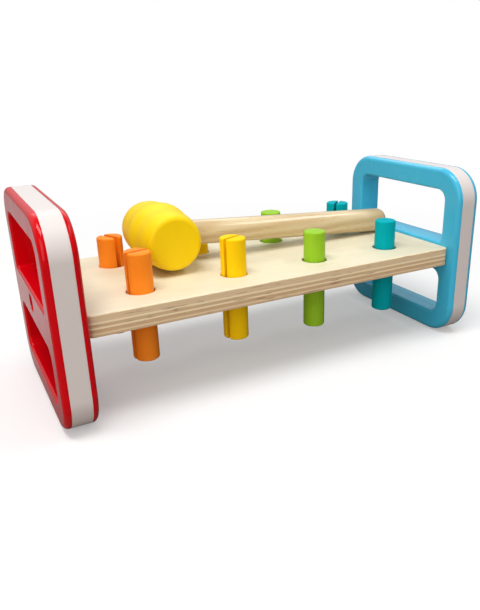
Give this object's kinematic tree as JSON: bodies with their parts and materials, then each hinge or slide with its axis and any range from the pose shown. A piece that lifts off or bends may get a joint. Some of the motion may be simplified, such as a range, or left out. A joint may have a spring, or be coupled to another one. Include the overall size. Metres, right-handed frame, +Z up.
{
  "type": "peg pounding bench",
  "caption": "Toy pounding bench: a drilled plywood board between upright handle frames, split coloured pegs that are driven through it, and a barrel-headed hammer.",
  "frame": {"origin": "on the ground below the middle of the board, at the bottom centre of the bench", "axes": "+X along the bench from the red frame to the blue frame, +Y from front to back, +Z up"},
  "size_m": [0.2726, 0.1174, 0.1135],
  "materials": {
    "birch_ply": "clear matt lacquer on pale plywood",
    "red_plastic": "glossy moulded",
    "blue_plastic": "satin gloss moulded",
    "white_plastic": "glossy moulded",
    "screw_steel": "zinc plated",
    "orange_peg": "satin paint on wood",
    "yellow_peg": "satin paint on wood",
    "green_peg": "satin paint on wood",
    "teal_peg": "satin paint on wood",
    "yellow_head": "matt paint on turned wood",
    "handle_wood": "clear lacquer on turned wood"
  },
  "bodies": {
    "bench": {"board": "birch_ply", "red_outer_shell": "red_plastic", "red_rim_band": "white_plastic", "red_inner_shell": "red_plastic", "blue_outer_shell": "blue_plastic", "blue_rim_band": "white_plastic", "blue_inner_shell": "blue_plastic", "frame_screws": "screw_steel"},
    "peg_orange_front": {"peg_orange_front": "orange_peg"},
    "peg_yellow_front": {"peg_yellow_front": "yellow_peg"},
    "peg_green_front": {"peg_green_front": "green_peg"},
    "peg_teal_front": {"peg_teal_front": "teal_peg"},
    "peg_orange_back": {"peg_orange_back": "orange_peg"},
    "peg_yellow_back": {"peg_yellow_back": "yellow_peg"},
    "peg_green_back": {"peg_green_back": "green_peg"},
    "peg_teal_back": {"peg_teal_back": "teal_peg"},
    "hammer": {"hammer_head": "yellow_head", "hammer_handle": "handle_wood"}
  },
  "joints": [
    {"name": "peg_orange_front_slide", "type": "slide", "parent": "bench", "child": "peg_orange_front", "axis": [0, 0, 1], "range_m": [-0.022, 0.0275]},
    {"name": "peg_yellow_front_slide", "type": "slide", "parent": "bench", "child": "peg_yellow_front", "axis": [0, 0, 1], "range_m": [-0.022, 0.0275]},
    {"name": "peg_green_front_slide", "type": "slide", "parent": "bench", "child": "peg_green_front", "axis": [0, 0, 1], "range_m": [-0.0185, 0.031]},
    {"name": "peg_teal_front_slide", "type": "slide", "parent": "bench", "child": "peg_teal_front", "axis": [0, 0, 1], "range_m": [-0.0185, 0.031]},
    {"name": "peg_orange_back_slide", "type": "slide", "parent": "bench", "child": "peg_orange_back", "axis": [0, 0, 1], "range_m": [-0.018, 0.0315]},
    {"name": "peg_yellow_back_slide", "type": "slide", "parent": "bench", "child": "peg_yellow_back", "axis": [0, 0, 1], "range_m": [-0.02, 0.0295]},
    {"name": "peg_green_back_slide", "type": "slide", "parent": "bench", "child": "peg_green_back", "axis": [0, 0, 1], "range_m": [-0.0205, 0.029]},
    {"name": "peg_teal_back_slide", "type": "slide", "parent": "bench", "child": "peg_teal_back", "axis": [0, 0, 1], "range_m": [-0.021, 0.0285]},
    {"name": "hammer_lift", "type": "slide", "parent": "bench", "child": "hammer", "axis": [0, 0, 1], "range_m": [0, 0.12]}
  ]
}
